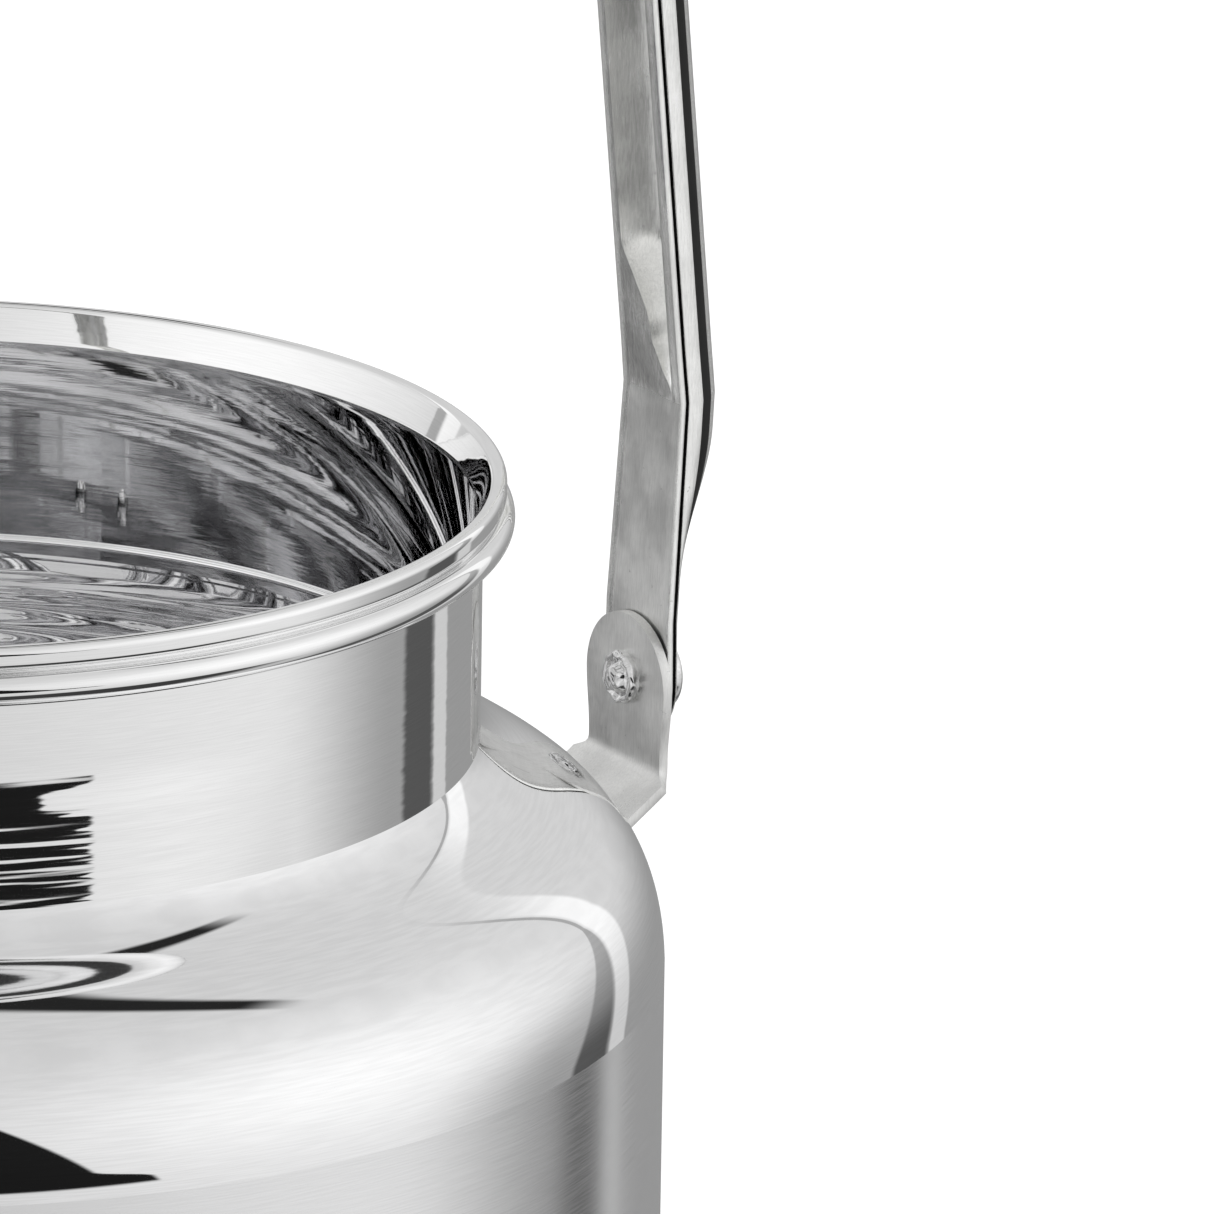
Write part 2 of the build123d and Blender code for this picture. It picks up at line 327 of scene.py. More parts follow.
def spun_steel(name, ring_height, ring_scale, tilt, polish):
    """Bright steel with the fine rings and slow waves that spinning and buffing leave: ring_height and
    tilt are their heights in metres, and polish is the middle of the roughness."""

    def build(n):
        angle, height, radius = n.round_place()
        run = n.math("ADD", height, radius)
        rings = n.noise(n.vector(n.times(angle, 3.0), run, 0.0), ring_scale, 4.0, 0.65)
        slow = n.noise(n.vector(n.times(angle, 1.5), run, 7.0), 0.06, 1.0)
        fine = n.noise(n.vector(n.times(angle, 12.0), n.times(run, 6.0), 3.0), 1.0, 3.0)
        specks = n.noise(n.place(), 1.3, 5.0, 0.7)
        grey = n.ramp(fine, 0.3, 0.7, 0.86, 0.93)
        grey = n.times(grey, n.ramp(specks, 0.18, 0.30, 0.82, 1.0))
        colour = n.vector(grey, grey, n.times(grey, 1.004))
        rough = n.ramp(fine, 0.3, 0.7, polish * 0.9, polish * 1.15)
        rough = n.math("ADD", rough, n.ramp(slow, 0.3, 0.7, 0.0, 0.01))
        bumped = n.bump(rings, 1.0, ring_height)
        bumped = n.bump(slow, 1.0, tilt, bumped)
        return {"Base Color": colour, "Roughness": rough, "Normal": bumped}

    return steel(name, build)


def planished_steel(name):
    """Bright spun steel whose lower wall is planished at three places: shallow coves with fine
    ripples. Heights are in millimetres above the neck's foot."""
    cove_top, cove_slope = 17.0, 0.075

    def build(n):
        angle, height, radius = n.round_place()
        above = n.math("SUBTRACT", height, NECK_Z / MM)
        spread = n.noise(n.vector(n.times(angle, 3.0), n.times(above, 0.3), 2.0), 1.0, 2.0, 0.5)
        ripple = n.noise(n.vector(n.times(angle, 4.0), above, 5.0), 0.9, 1.0, 0.4)
        fine = n.noise(n.vector(n.times(angle, 12.0), n.times(above, 6.0), 3.0), 1.0, 3.0)
        specks = n.noise(n.place(), 1.3, 5.0, 0.7)
        grey = n.times(n.ramp(fine, 0.3, 0.7, 0.88, 0.93), n.ramp(specks, 0.18, 0.28, 0.8, 1.0))
        # planished is 1 at the middle of each of the three places and 0 between them
        place = n.math("COSINE", n.math("MULTIPLY_ADD", angle, 3.0, 5.76))
        planished = n.ramp(place, -0.1, 0.75)
        low = n.ramp(above, cove_top, 10.0)
        cove = n.times(n.times(low, n.math("SUBTRACT", cove_top, above)), cove_slope)
        cove = n.times(cove, planished)
        waves = n.times(ripple, n.math("MULTIPLY_ADD", low, 0.03, 0.008))
        waves = n.times(waves, n.math("MULTIPLY_ADD", planished, 0.8, 0.2))
        face = n.math("ADD", n.math("ADD", cove, waves), n.times(spread, 0.02))
        bumped = n.bump(face, 1.0, MM)
        rough = n.ramp(fine, 0.3, 0.7, 0.02, 0.05)
        return {"Base Color": n.vector(grey, grey, grey), "Roughness": rough, "Normal": bumped}

    return steel(name, build)


def strip_steel(name, along=(1.0, 1.0, 0.12), rough=0.3, stain=0.25, grey=0.62):
    """Satin strip metal with rolling lines, faint scratches and stains."""

    def build(n):
        lines = n.noise(n.place(along), 4.0, 5.0, 0.7)
        blotch = n.noise(n.place(), 0.16, 3.0)
        specks = n.noise(n.place(), 0.8, 6.0, 0.75)
        tone = n.ramp(lines, 0.25, 0.75, grey * 0.9, grey * 1.08)
        tone = n.times(tone, n.ramp(blotch, 0.3, 0.7, 1.0 - stain, 1.05))
        tone = n.times(tone, n.ramp(specks, 0.27, 0.36, 0.5, 1.0))
        warm = n.times(tone, 0.985)
        roughness = n.ramp(blotch, 0.2, 0.8, rough * 0.8, rough * 1.2)
        roughness = n.math("ADD", roughness, n.ramp(lines, 0.2, 0.8, -0.04, 0.04))
        bumped = n.bump(lines, 0.5, 4e-5)
        bumped = n.bump(blotch, 0.6, 2e-4, bumped)
        return {"Base Color": n.vector(tone, tone, warm), "Roughness": roughness, "Normal": bumped}

    return steel(name, build)


def peened_steel(name):
    """Bright rivet metal with hammer marks."""

    def build(n):
        dents = n.noise(n.place(), 0.35, 1.0, 0.4)
        specks = n.noise(n.place(), 2.0, 4.0)
        tone = n.ramp(specks, 0.3, 0.7, 0.72, 0.86)
        rough = n.ramp(specks, 0.3, 0.7, 0.06, 0.14)
        bumped = n.bump(dents, 1.0, 3e-4)
        return {"Base Color": n.vector(tone, tone, tone), "Roughness": rough, "Normal": bumped}

    return steel(name, build)


BODY_STEEL = spun_steel("body_steel", ring_height=4e-7, ring_scale=0.5, tilt=5e-5, polish=0.2)
SHOULDER_STEEL = spun_steel("shoulder_steel", ring_height=4e-7, ring_scale=0.6, tilt=6e-5, polish=0.012)
NECK_STEEL = planished_steel("neck_steel")
INSIDE_STEEL = spun_steel("inside_steel", ring_height=3e-6, ring_scale=0.4, tilt=1e-4, polish=0.012)
FOOT_STEEL = spun_steel("foot_steel", ring_height=1e-5, ring_scale=0.5, tilt=2e-4, polish=0.06)
BRACKET_STEEL = strip_steel("bracket_steel", rough=0.36, stain=0.16, grey=0.84)
RIVET_STEEL = peened_steel("rivet_steel")
WIRE_STEEL = strip_steel("wire_steel", along=(1.0, 1.0, 1.0), rough=0.3, stain=0.2, grey=0.6)
BAIL_STEEL = strip_steel("bail_steel", rough=0.22, stain=0.08, grey=0.93)
STRAP_STEEL = strip_steel("strap_steel", rough=0.38, stain=0.2, grey=0.8)
# near-black metal for the bail's seam groove: painted shade in the recess, together with dark oxide
SEAM_SHADE_AND_OXIDE_STEEL = strip_steel("seam_shade_and_oxide_steel", rough=0.6, stain=0.3, grey=0.05)

# ---------------------------------------------------------------- can

# the shoulder's curve leaves the neck along ROOT_RUN and ROOT_DROP and ends upright at the body's seam
ROOT_RUN = 5.6 * MM
ROOT_DROP = 8.6 * MM
BROW_RUN = 0.8 * MM
BROW_RISE = 19.8 * MM
# the rim above the straight wall, as runs (length, 0) and arcs (radius, turn in degrees)
FLARE_START = 26.6 * MM
FLARE_AND_FOLD = [(1.3 * MM, -24), (3.5 * MM, 0), (0.6 * MM, -156), (0.9 * MM, 0)]
GROOVE_AND_BEAD = [(0.45 * MM, -90), (0.625 * MM, 180), (1.4 * MM, -255)]


def build_body_wall():
    """The plain cylinder of the body."""
    low = BODY_LOW.z
    inner = BODY_R - SHEET
    wall = [(inner, low), (BODY_R, low)]
    wall += [(BODY_R, low + (SEAM_Z - low) * i / 12) for i in range(1, 13)]
    wall += [(inner, SEAM_Z - (SEAM_Z - low) * i / 12) for i in range(12)]
    body = lathe("body_wall", wall, BODY_STEEL, 13)
    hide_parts("body_shell")


def lip_outline(lip_outer, foot_z):
    """The shoulder's upright lip inside the neck, from the fillet at its foot over its rounded top."""
    lip_inner = lip_outer - SHEET
    fillet_r, fillet_rise, fillet_low = 0.45 * MM, 0.8 * MM, foot_z - 0.1 * MM
    top = NECK_Z + LIP_HEIGHT - LIP_ROUND
    fillet = (0.9, 0.6, 0.3, 0)
    lip = [(lip_inner + fillet_r * (1 - cos(a)), fillet_low + fillet_rise * sin(a)) for a in fillet]
    lip += [(lip_inner, foot_z + (top - foot_z) * i / 4) for i in range(1, 5)]
    lip += [(lip_inner + LIP_ROUND * (1 - cos(a)), top + LIP_ROUND * sin(a)) for a in (0.5, 1.0, pi / 2)]
    lip += [(lip_outer - LIP_ROUND * (1 - sin(a)), top + LIP_ROUND * cos(a)) for a in (0, 0.5, 1.0, pi / 2)]
    lip += [(lip_outer, NECK_Z)]
    return np.array(lip)


def build_shoulder():
    """The domed shoulder with its upright inner lip."""
    inner = BODY_R - SHEET
    slope = sqrt(ROOT_RUN**2 + ROOT_DROP**2)
    root = np.array((NECK_R + ROOT_RUN, NECK_Z - ROOT_DROP))
    inward = np.array((-ROOT_DROP, -ROOT_RUN)) * (SHEET / slope)
    brow_z = SEAM_Z + BROW_RISE
    outside = bezier([(NECK_R, NECK_Z), root, (BODY_R - BROW_RUN, brow_z), (BODY_R, SEAM_Z)], 72)
    start = np.array((NECK_R, NECK_Z - SHEET * slope / ROOT_RUN))
    inside = bezier([start, root + inward, (inner - BROW_RUN, brow_z), (inner, SEAM_Z)], 48)
    lip_outer = NECK_R - SHEET - LIP_GAP
    foot_z = start[1] + (NECK_R - lip_outer + SHEET) * ROOT_DROP / ROOT_RUN
    outline = np.concatenate([outside, inside[::-1], lip_outline(lip_outer, foot_z)])
    shoulder = lathe("shoulder_dome", outline, SHOULDER_STEEL, len(outside), crease=40)
    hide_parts("shoulder")


def build_neck():
    """The straight neck with its flare, folded edge, groove and wired bead."""
    middle = NECK_R - SHEET / 2
    wall_top = NECK_Z + FLARE_START
    path = turn_path((middle, wall_top), 90, FLARE_AND_FOLD + GROOVE_AND_BEAD)
    straight = np.array([(middle, NECK_Z + (wall_top - NECK_Z) * i / 24) for i in range(24)])
    path = np.concatenate([straight, path])
    section = thicken(path, SHEET / 2)
    neck = lathe("neck_and_rim", section[::-1], NECK_STEEL, len(section) - len(straight), crease=50)
    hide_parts("neck_collar")


def dress_cad_nodes():
    """Better metals on the CAD nodes that stay."""
    metals = {"bottom_plate": INSIDE_STEEL, "foot_ring": FOOT_STEEL, "rim_wire": WIRE_STEEL}
    for node, metal in metals.items():
        mesh = frame["nodes"][node].data
        mesh.materials.clear()
        mesh.materials.append(metal)


build_body_wall()
build_shoulder()
build_neck()
dress_cad_nodes()

# ---------------------------------------------------------------- bail

BEND_X = 104.5 * MM
BEND_UP = 34.7 * MM
STRAP_STRAIGHT = 8.0 * MM
STRAP_LEAN = degrees(atan((BEND_X - STRAP_X) / (BEND_UP - STRAP_STRAIGHT)))
BEND_REACH = 5.0 * MM
ARM_LEAN = 5.6
ARM_TOP = 98.0 * MM
CORNER_R = 48.0 * MM
CROWN_ANGLE = 20.0
CHANNEL_HALF = 6.2 * MM
CHANNEL_DEPTH = 7.6 * MM
LIP = 1.7 * MM
SEAM_LOW = 0.85 * MM
SEAM_HIGH = 1.25 * MM
SEAM_DEEP = 1.0 * MM
ARCH_FOOT = 1.35 * MM
ARCH_LOW = 11.5 * MM
ARCH_HIGH = 31.0 * MM
PIVOT_HOLE_R = 2.55 * MM
# where the trough's rear edge runs above the bend: height, and share of the width from the rear
TROUGH_HEIGHTS = (0.0, 2.9 * MM, 6.4 * MM, 10.2 * MM, 14.5 * MM, 17.5 * MM)
TROUGH_REAR = (0.97, 0.75, 0.58, 0.52, 0.30, 0.14)


def smooth(x, low, high):
    """0 below low, 1 above high, eased between them."""
    t = min(1.0, max(0.0, (x - low) / (high - low)))
    return t * t * (3 - 2 * t)


def arch(t):
    """From 1 to -1 as t runs from 0 to 1, slow at both ends, so that an arch's sides rise steeply."""
    return (1 - t) ** 3 + 3 * (1 - t) ** 2 * t - 3 * (1 - t) * t**2 - t**3


def bail_stations():
    """Places along the bail's inner face, from the right pivot end to the middle of the crown:
    x, z, lean of the section in degrees, height above the pivot along the bail."""
    stations = []
    for i in range(17):
        up = -STRAP_R * cos(pi / 2 * i / 16) * 0.9995
        stations.append((STRAP_X, up, 0.0, up))
    for i in range(1, 7):
        up = STRAP_STRAIGHT * i / 6
        stations.append((STRAP_X, up, -STRAP_LEAN * smooth(up, 0, STRAP_STRAIGHT), up))
    for i in range(1, 29):
        t = i / 28
        up = STRAP_STRAIGHT + (BEND_UP - STRAP_STRAIGHT) * t
        stations.append((STRAP_X + (BEND_X - STRAP_X) * t, up, -STRAP_LEAN, up))
    x, z = BEND_X, BEND_UP
    run = (ARM_TOP - BEND_UP) / cos(radians(ARM_LEAN))
    steps = 60
    for i in range(1, steps + 1):
        s = run * i / steps
        p = (x - s * sin(radians(ARM_LEAN)), z + s * cos(radians(ARM_LEAN)))
        stations.append((*p, ARM_LEAN, BEND_UP + s))
    x, z, _, along = stations[-1]
    centre = (x - CORNER_R * cos(radians(ARM_LEAN)), z - CORNER_R * sin(radians(ARM_LEAN)))
    turn = 90 - ARM_LEAN - CROWN_ANGLE
    for i in range(1, 37):
        a = radians(ARM_LEAN + turn * i / 36)
        p = (centre[0] + CORNER_R * cos(a), centre[1] + CORNER_R * sin(a))
        stations.append((*p, degrees(a), along + CORNER_R * radians(turn * i / 36)))
    x, z, _, along = stations[-1]
    crown_r = x / sin(radians(CROWN_ANGLE))
    low = z - crown_r * cos(radians(CROWN_ANGLE))
    for i in range(1, 25):
        turned = CROWN_ANGLE * i / 24
        a = radians(90 - CROWN_ANGLE + turned)
        p = (crown_r * cos(a), low + crown_r * sin(a))
        stations.append((*p, degrees(a), along + crown_r * radians(turned)))
    return stations


def bail_section(along):
    """A closed loop of (across, outward) points of the bail at a height along it."""
    above = along - BEND_UP
    if along < 0:
        half = sqrt(max(STRAP_R**2 - along**2, 1e-12))
    else:
        half = STRAP_R + (CHANNEL_HALF + 0.1 * MM - STRAP_R) * min(1.0, along / BEND_UP)
    half -= 0.1 * MM * smooth(above, 0, 6 * MM)
    edge = min(SEAM_DEEP, 0.5 * half)
    hump = smooth(along, ARCH_LOW, ARCH_HIGH)
    depth = STRAP_THICK + (CHANNEL_DEPTH - STRAP_THICK) * hump**0.85
    # the trough opens from a point at the front of the bend to the full channel
    inner = min(half * 0.75, half - LIP) if half > LIP else half * 0.3
    rear = np.interp(above, TROUGH_HEIGHTS, TROUGH_REAR) * 2 * half - half
    rear = min(inner * 0.94, max(-inner, rear))
    middle, trough_half = (inner + rear) / 2, (inner - rear) / 2
    trough_deep = (CHANNEL_DEPTH - SHEET) * (trough_half / inner) ** 0.8
    trough_deep *= smooth(above, -0.5 * MM, 7 * MM)
    loop = []
    flats = 5
    for i in range(flats):
        loop.append((-inner + (rear + inner) * i / flats, 0.0))
    bowls = 26
    for i in range(bowls + 1):
        t = i / bowls
        loop.append((middle - trough_half * arch(t), trough_deep * 4 * t * (1 - t)))
    # beside the trough: the flat's rounded corner, the edge, and the seam groove in it, whose faces get the
    # near-black seam material as painted shade with dark oxide
    side = [
        (half - 0.22 * MM, 0.0), (half - 0.06 * MM, 0.07 * MM), (half, 0.24 * MM),
        (half, SEAM_LOW - 0.15 * MM), (half - 0.12 * MM, SEAM_LOW), (half - edge, SEAM_LOW + 0.1 * MM),
        (half - edge, SEAM_HIGH - 0.1 * MM), (half - 0.12 * MM, SEAM_HIGH),
    ]
    loop += [(max(a, inner * 1.001 if b == 0 else 0), b) for a, b in side]
    arches = 34
    for i in range(arches + 1):
        t = i / arches
        loop.append((half * arch(t), ARCH_FOOT + (depth - ARCH_FOOT) * 4 * t * (1 - t)))
    loop += [(-max(a, inner * 1.001 if b == 0 else 0), b) for a, b in reversed(side)]
    first_side = flats + bowls + 1
    groove = [first_side + 4, first_side + 5, first_side + 6]
    groove += [len(loop) - 2 - i for i in groove]
    return loop, first_side, groove


def build_bail():
    """The pressed bail: flat strap ends, a bend, and a channel that is open towards the can."""
    verts, strap_rows = [], []
    for x, up, lean, along in bail_stations():
        # the section turns gently through the bend although the inner face is sharply bent
        if abs(along - BEND_UP) < BEND_REACH:
            eased = smooth(along, BEND_UP - BEND_REACH, BEND_UP + BEND_REACH)
            lean = -STRAP_LEAN + (ARM_LEAN + STRAP_LEAN) * eased
        out_x, out_z = cos(radians(lean)), sin(radians(lean))
        loop, flat_count, groove = bail_section(along)
        verts.append([(x + v * out_x, -u, PIVOT_Z + up + v * out_z) for u, v in loop])
        strap_rows.append(along < BEND_UP + 0.2 * MM)
    right = np.array(verts)
    left = right[::-1].copy()
    left[:, :, 0] *= -1
    rows = np.concatenate([right, left[1:]])
    strap_rows = strap_rows + strap_rows[::-1][1:]
    total, count = rows.shape[:2]
    faces, kinds = [], []
    for i in range(total - 1):
        on_strap = strap_rows[i] and strap_rows[i + 1]
        for j in range(count):
            k = (j + 1) % count
            faces.append((i * count + j, i * count + k, (i + 1) * count + k, (i + 1) * count + j))
            # the seam groove's faces take material 2, near-black: painted shade in the groove, with dark
            # oxide
            kinds.append(2 if j in groove else int(on_strap and j < flat_count))
    faces.append(tuple(range(count))[::-1])
    faces.append(tuple((total - 1) * count + j for j in range(count)))
    kinds += [0, 0]
    metals = [BAIL_STEEL, STRAP_STEEL, SEAM_SHADE_AND_OXIDE_STEEL]
    bail = finish_mesh("bail", rows.reshape(-1, 3), faces, "bail", "handle_steel", metals, 40, kinds)
    for side in (-1, 1):
        centre = (side * (STRAP_X + STRAP_THICK / 2), 0, PIVOT_Z)
        cut_hole(bail, centre, (1, 0, 0), PIVOT_HOLE_R, 6 * MM)
    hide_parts("bail_handle")


# ---------------------------------------------------------------- brackets and rivets

FLANGE_LOW = 153.6 * MM
FLANGE_HIGH = 167.6 * MM
EAR_BEND_Z = PIVOT_Z - 10.6 * MM
EAR_R = 8.4 * MM
EAR_DROP = 0.6 * MM
WAIST_HALF = 7.7 * MM
LEG_HALF = 9.6 * MM
FLANGE_HALF = 15.5 * MM
FLANGE_CORNER = 3.0 * MM
FOOT_RIVET_Y = 9.5 * MM
BRACKET_BEND_R = 2.4 * MM
FLANGE_NARROWING = 5.0 * MM
WAIST_START = 3.0 * MM
WAIST_FILLET = 2.2 * MM
PIVOT_SHANK_R = 2.5 * MM
PIVOT_HEAD_R = 4.6 * MM
FOOT_SHANK_R = 1.6 * MM


def bracket_rows():
    """Rows across the bracket's middle surface from the flange's lower edge to the ear's top:
    x, z, half width, share of the body's roundness."""
    middle = EAR_THICK / 2
    x0, x1 = BODY_R + middle, EAR_X + middle
    slope = atan((EAR_BEND_Z - FLANGE_HIGH) / (x1 - x0))
    cut = BRACKET_BEND_R * tan((pi / 2 - slope) / 2)
    leg = sqrt((EAR_BEND_Z - FLANGE_HIGH) ** 2 + (x1 - x0) ** 2)
    ear_top = PIVOT_Z - EAR_DROP + EAR_R
    moves = [
        (FLANGE_HIGH - FLANGE_LOW - cut, 0), (BRACKET_BEND_R, degrees(slope) - 90),
        (leg - 2 * cut, 0), (BRACKET_BEND_R, 90 - degrees(slope)), (ear_top - EAR_BEND_Z - cut, 0),
    ]
    path = turn_path((x0, FLANGE_LOW), 90, moves, 6.0)
    lengths = np.concatenate([[0], np.cumsum(np.linalg.norm(np.diff(path, axis=0), axis=1))])
    total = lengths[-1]
    flange_end = FLANGE_HIGH - FLANGE_LOW
    leg_end = flange_end + leg - cut
    stops = list(FLANGE_CORNER * (1 - np.cos(np.linspace(0, pi / 2, 7))))
    stops += list(np.linspace(FLANGE_CORNER, total - EAR_R, 60)[1:])
    stops += list(total - EAR_R * (1 - np.sin(np.linspace(0, pi / 2, 26)))[1:])
    rows = []
    for s in stops:
        x = np.interp(s, lengths, path[:, 0])
        z = np.interp(s, lengths, path[:, 1])
        if s < FLANGE_CORNER:
            half = FLANGE_HALF - FLANGE_CORNER + sqrt(max(FLANGE_CORNER**2 - (FLANGE_CORNER - s) ** 2, 0))
        elif s < flange_end:
            narrowing = smooth(s, flange_end - FLANGE_NARROWING, flange_end) ** 0.7
            half = LEG_HALF + (FLANGE_HALF - LEG_HALF) * (1 - narrowing)
        elif s < leg_end:
            half = LEG_HALF
        else:
            height = s - (total - EAR_R)
            round_half = sqrt(max(EAR_R**2 - height**2, 0)) if height > 0 else EAR_R
            t = smooth(s, leg_end + WAIST_START, total - EAR_R)
            waist = WAIST_HALF + (EAR_R - WAIST_HALF) * t
            flow = 1 - min(1.0, (s - leg_end) / WAIST_FILLET)
            waist += (LEG_HALF - WAIST_HALF) * (1 - sqrt(1 - flow**2))
            half = waist if height < 0 else round_half
        rows.append((x, z, max(half, 0.15 * MM), 1 - smooth(s, flange_end, leg_end)))
    return rows


def build_bracket():
    """The right-hand bracket: riveted flange, sloping leg and upright ear, and its mirror twin."""
    across = 28
    verts, faces = [], []
    rows = bracket_rows()
    radius = BODY_R + EAR_THICK / 2
    for x, z, half, round_share in rows:
        for j in range(across + 1):
            y = half * sin(pi / 2 * (2 * j / across - 1))
            verts.append((x - round_share * (radius - sqrt(radius**2 - y * y)), y, z))
    for i in range(len(rows) - 1):
        for j in range(across):
            a = i * (across + 1) + j
            faces.append((a, a + 1, a + across + 2, a + across + 1))
    right = finish_mesh("ear_strip_right", verts, faces, "can", "bracket_steel", [BRACKET_STEEL], 40)
    thick = right.modifiers.new("thickness", "SOLIDIFY")
    thick.thickness = EAR_THICK
    thick.offset = 0.0
    thick.use_even_offset = True
    soft = right.modifiers.new("edges", "BEVEL")
    soft.width = 0.18 * MM
    soft.segments = 2
    soft.limit_method = "ANGLE"
    soft.angle_limit = radians(50)
    apply_modifiers(right)
    right.data.set_sharp_from_angle(angle=radians(50))
    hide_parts("ear_bracket_right")
    left = mirrored(right, "ear_strip_left")
    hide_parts("ear_bracket_left")


def dome(radius, height, base, steps=10):
    """Outline points of a domed head from its rim to its top."""
    points = []
    for i in range(steps + 1):
        a = pi / 2 * i / steps
        points.append((radius * cos(a), base + height * sin(a) ** 1.15))
    return points


def build_rivet(name, node, spot, outward, outline, dents):
    """A rivet turned about its own axis, with shallow hammer marks on its inner end."""
    verts, faces = ring_mesh(outline, 72)
    turn = Vector((0, 0, 1)).rotation_difference(Vector(outward)).to_matrix()
    placed = []
    for x, y, z in verts:
        if z < dents[0]:
            wave = sin(x / MM * 2.1 + 0.7) * cos(y / MM * 1.9 - 0.4)
            wave += 0.6 * sin(y / MM * 3.3 + x / MM * 1.2)
            z += wave * dents[1] * min(1.0, (dents[0] - z) / (0.5 * MM))
            x, y = x * (1 + 0.05 * sin(3 * (x - y) / MM)), y * (1 + 0.05 * cos(2 * (x + y) / MM))
        placed.append(turn @ Vector((x, y, z)) + Vector(spot))
    piece = finish_mesh(name, placed, faces, "can", "rivet_steel", [RIVET_STEEL], 50)
    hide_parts(node)


def build_rivets():
    """The two pivots and the four bracket rivets."""
    # the pivot's head starts just clear of the strap
    over = EAR_THICK + STRAP_GAP + STRAP_THICK + 0.2 * MM
    # the inner end is a rolled collar round a peened button
    button = [(0, 2.25), (0.7, 2.2), (1.25, 2.02), (1.6, 1.7), (1.8, 1.3), (1.95, 1.02), (2.1, 0.95)]
    collar = [(2.3, 1.1), (2.55, 1.3), (2.85, 1.32), (3.1, 1.1), (3.22, 0.75), (3.2, 0.3), (3.1, 0.0)]
    pivot = [(radius * MM, -height * MM) for radius, height in button + collar]
    pivot += [(PIVOT_SHANK_R, 0.0), (PIVOT_SHANK_R, over), (PIVOT_HEAD_R - 0.2 * MM, over)]
    pivot += [(PIVOT_HEAD_R, over + 0.2 * MM), (PIVOT_HEAD_R, over + 1.6 * MM)]
    pivot += dome(PIVOT_HEAD_R - 0.1 * MM, 0.95 * MM, over + 1.85 * MM)
    foot = [(0.0, -SHEET - 0.95 * MM), (1.4 * MM, -SHEET - 0.9 * MM), (2.3 * MM, -SHEET - 0.5 * MM)]
    foot += [(2.4 * MM, -SHEET - 0.05 * MM), (FOOT_SHANK_R, -SHEET - 0.05 * MM), (FOOT_SHANK_R, EAR_THICK)]
    foot += [(2.8 * MM, EAR_THICK), (2.9 * MM, EAR_THICK + 0.1 * MM)]
    foot += dome(2.86 * MM, 1.15 * MM, EAR_THICK + 0.15 * MM)
    for side, word in ((1, "right"), (-1, "left")):
        build_rivet(
            "pivot_" + word, "pivot_rivet_" + word, (side * EAR_X, 0, PIVOT_Z), (side, 0, 0),
            pivot, (-0.5 * MM, 0.07 * MM),
        )
        for y, place in ((-FOOT_RIVET_Y, "front"), (FOOT_RIVET_Y, "rear")):
            a = asin(y / BODY_R)
            out = (side * cos(a), sin(a), 0)
            spot = (BODY_R * out[0], BODY_R * out[1], (FLANGE_LOW + FLANGE_HIGH) / 2)
            build_rivet(
                "foot_rivet_" + word + "_" + place, "bracket_rivet_" + word + "_" + place, spot, out,
                foot, (-SHEET - 0.3 * MM, 0.06 * MM),
            )


build_bail()
build_bracket()
build_rivets()

# ---------------------------------------------------------------- stage, light and camera

FORWARD = Vector((sin(radians(-CAMERA_AZIMUTH)), cos(radians(-CAMERA_AZIMUTH)), 0))
RIGHT = Vector((FORWARD.y, -FORWARD.x, 0))

# the studio light, in degrees: side is round from the camera, rise is up from the level, and over
# runs from the camera's side up and over to the far side
GLOW_SIDE = 72
GLOW_RISE = 16
FLAG_SIDE = 125.0
FLAG_FOOT = -17.6
FLAG_LEAN = 0.27
FLAG_HALF = 6.5
FLAG_TAPER = -0.19
EDGE_BEHIND = 3.6
WEDGE_SIDE = 32.0
LINE_OVER = 102


def build_floor():
    """A wide pale floor under the can."""
    material = bpy.data.materials.new("floor")
    material.use_nodes = True
    n = Nodes(material.node_tree)
    mottle = n.noise(n.place(), 0.004, 2.0)
    tone = n.ramp(mottle, 0.3, 0.7, 0.86, 0.88)
    shader = n.add(
        "ShaderNodeBsdfPrincipled",
        {"Base Color": n.vector(tone, tone, tone), "Roughness": 0.9,
         "Emission Color": (1.0, 1.0, 1.0, 1.0), "Emission Strength": 0.32},
    )
    n.add("ShaderNodeOutputMaterial", {0: shader.outputs[0]})
    mesh = bpy.data.meshes.new("floor")
    side = 12.0
    corners = [(-side, -side, 0), (side, -side, 0), (side, side, 0), (-side, side, 0)]
    mesh.from_pydata(corners, [], [(0, 1, 2, 3)])
    mesh.materials.append(material)
    floor = bpy.data.objects.new("floor", mesh)
    bpy.context.scene.collection.objects.link(floor)
    floor.visible_glossy = False


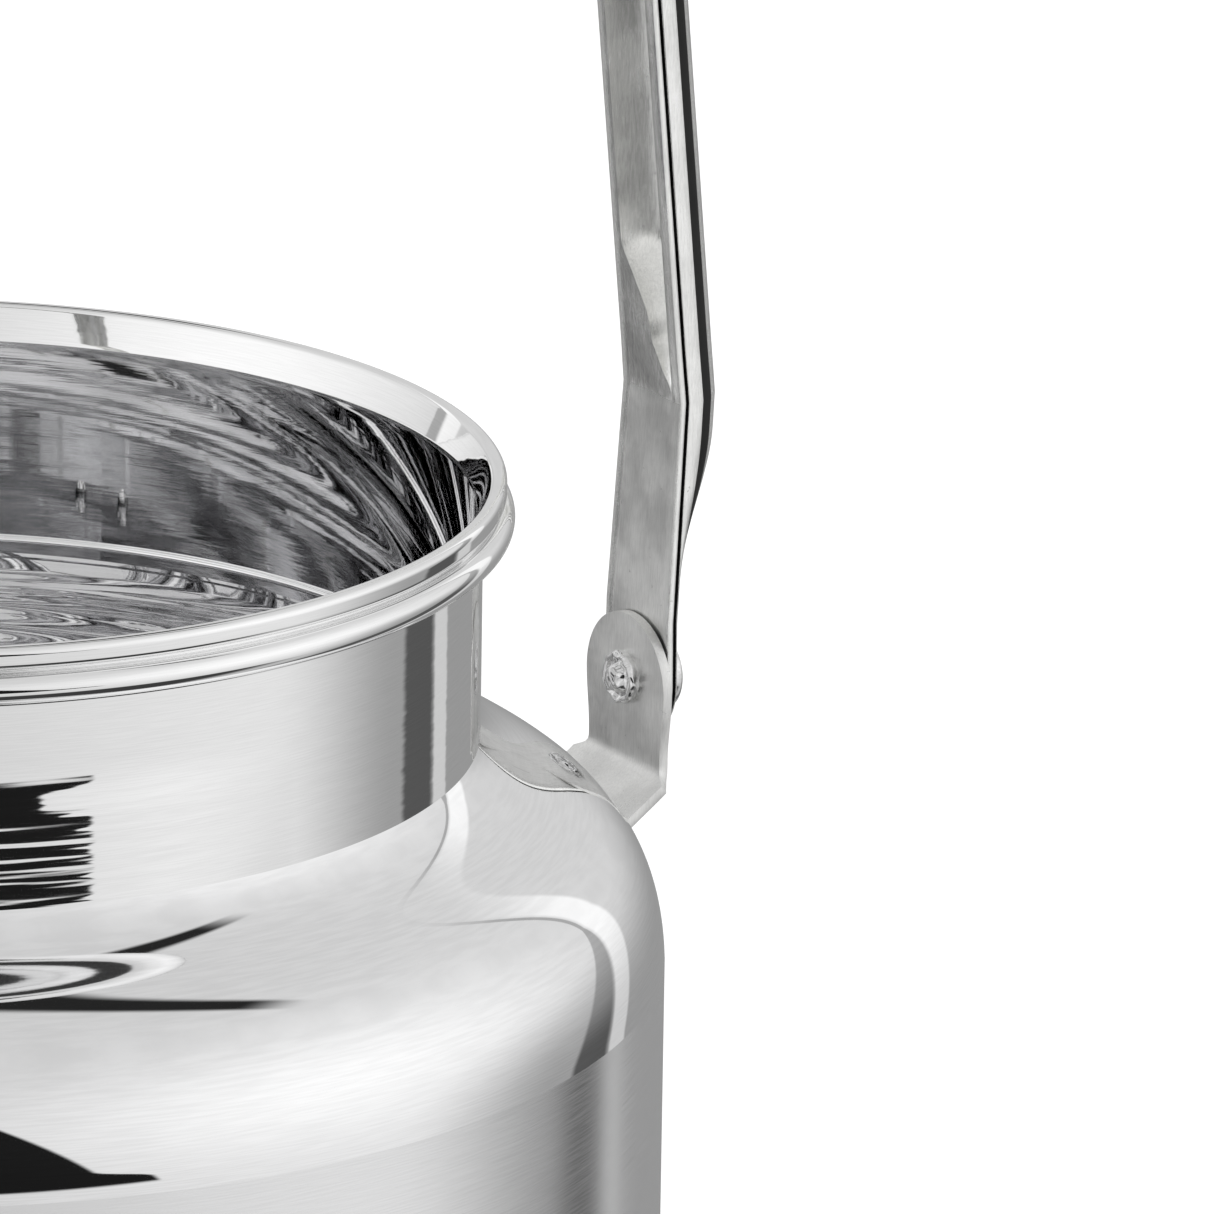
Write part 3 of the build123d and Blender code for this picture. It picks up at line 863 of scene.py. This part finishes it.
def build_world():
    """Soft studio light all round: a bright side, grey falls between, and narrow dark flags that
    draw lines in the polished steel. Only mirrored rays see it; all others see plain near-white."""
    world = bpy.data.worlds.new("studio")
    bpy.context.scene.world = world
    world.use_nodes = True
    n = Nodes(world.node_tree)
    way = n.add("ShaderNodeTexCoord").outputs["Generated"]
    across = n.add("ShaderNodeVectorMath", {0: way, 1: RIGHT}, operation="DOT_PRODUCT").outputs["Value"]
    ahead = n.add("ShaderNodeVectorMath", {0: way, 1: FORWARD}, operation="DOT_PRODUCT").outputs["Value"]
    up = n.add("ShaderNodeSeparateXYZ", {0: way}).outputs[2]
    turn = n.times(n.math("ARCTAN2", across, n.times(ahead, -1.0)), 180 / pi)
    side = n.math("ABSOLUTE", turn)
    rise = n.times(n.math("ARCSINE", up), 180 / pi)

    def square_off(value, centre, width):
        """Minus the square of the distance from centre, counted in widths."""
        x = n.math("DIVIDE", n.math("SUBTRACT", value, centre), width)
        return n.times(n.times(x, x), -1.0)

    def band(value, start, full, last_full, end):
        """1 between full and last_full, easing to 0 at start and end."""
        return n.times(n.ramp(value, start, full), n.ramp(value, end, last_full))

    def darken(light, mask, share):
        """Takes a share of the light away where the mask is 1."""
        return n.times(light, n.math("MULTIPLY_ADD", mask, -share, 1.0))

    glow = n.math("ADD", square_off(side, GLOW_SIDE, 52), square_off(rise, GLOW_RISE, 36))
    light = n.math("MULTIPLY_ADD", n.math("EXPONENT", glow), 0.42, 0.66)
    # falling grey towards the far side, low down
    fall = n.times(n.ramp(side, 78, 116), n.ramp(rise, 10, -15))
    light = darken(light, fall, 0.52)
    # the dark flag: wide at the bottom and running out upwards
    lifted = n.math("ADD", rise, -FLAG_FOOT)
    off = n.math("SUBTRACT", side, n.math("MULTIPLY_ADD", lifted, FLAG_LEAN, FLAG_SIDE))
    half = n.math("MAXIMUM", n.math("MULTIPLY_ADD", lifted, FLAG_TAPER, FLAG_HALF), 0.5)
    flag = n.ramp(n.math("DIVIDE", n.math("ABSOLUTE", off), half), 0.75, 1.1, 1.0, 0.0)
    flag = n.times(flag, n.ramp(rise, 44, 30))
    flag = n.times(flag, n.ramp(rise, -15, -6, -0.72, -0.42))
    light = n.times(light, n.math("ADD", flag, 1.0))
    # the bright edge behind the flag
    behind = n.math("SUBTRACT", off, n.math("ADD", half, EDGE_BEHIND))
    bright = n.ramp(n.math("ABSOLUTE", behind), 2.6, 3.8, 1.0, 0.0)
    light = n.math("MULTIPLY_ADD", bright, n.ramp(rise, 40, 20, 0.0, 0.30), light)
    # the dark gap in front, a wedge that narrows upwards
    edge = n.math("MULTIPLY_ADD", n.math("ADD", rise, 10), -0.5, WEDGE_SIDE)
    edge = n.math("ADD", edge, n.ramp(rise, -5, -9, 0.0, 7.0))
    wedge = n.times(n.ramp(n.math("SUBTRACT", turn, edge), 0.6, -0.6), n.ramp(turn, -22, -20))
    wedge = n.times(wedge, band(rise, -11.5, -10.5, 22, 26))
    light = darken(light, wedge, 0.985)

    # overhead, a dark line and beyond it a dark roof; and a dark strip low down at the front and sides.
    over = n.math("ARCTAN2", up, n.times(ahead, -1.0))
    over = n.times(over, 180 / pi)
    aside = n.math("ABSOLUTE", across)
    line = n.ramp(n.math("ABSOLUTE", n.math("SUBTRACT", over, LINE_OVER)), 3.2, 1.4)
    line = n.times(line, n.ramp(aside, 0.56, 0.44))
    roof = n.times(band(over, 114, 117, 128, 134), n.ramp(aside, 0.34, 0.24))
    light = darken(light, n.math("MAXIMUM", line, roof), 0.97)
    foot = n.times(band(rise, -64, -60, -34, -30), n.ramp(side, 95, 75))
    light = darken(light, foot, 0.93)

    path = n.add("ShaderNodeLightPath")
    seen = n.mix(path.outputs["Is Glossy Ray"], (0.95, 0.95, 0.95, 1.0), n.vector(light, light, light))
    shade = n.add("ShaderNodeBackground", {0: seen, 1: 1.0})
    n.add("ShaderNodeOutputWorld", {0: shade.outputs[0]})


def build_camera():
    """The long-lens camera that stands to the front left and looks a little down into the can."""
    elevation = radians(CAMERA_ELEVATION)
    forward = FORWARD * cos(elevation) - Vector((0, 0, sin(elevation)))
    up = RIGHT.cross(forward)
    data = bpy.data.cameras.new("camera")
    data.sensor_width = 36.0
    data.lens = CAMERA_LENS
    camera = bpy.data.objects.new("camera", data)
    bpy.context.scene.collection.objects.link(camera)
    camera.location = Vector((0, 0, NECK_Z)) - forward * CAMERA_DISTANCE
    look = (forward + RIGHT * tan(radians(CAMERA_YAW)) + up * tan(radians(CAMERA_PITCH))).normalized()
    side = (RIGHT - look * RIGHT.dot(look)).normalized()
    top = side.cross(look)
    camera.rotation_mode = "QUATERNION"
    camera.rotation_quaternion = Matrix((side, top, -look)).transposed().to_quaternion()
    data.clip_start = 0.05
    data.clip_end = 50.0
    bpy.context.scene.camera = camera


build_floor()
build_world()
build_camera()
bpy.context.scene.view_settings.view_transform = "Standard"
# light bounces many times between the polished walls inside the can
bpy.context.scene.cycles.max_bounces = 24
bpy.context.scene.cycles.glossy_bounces = 16
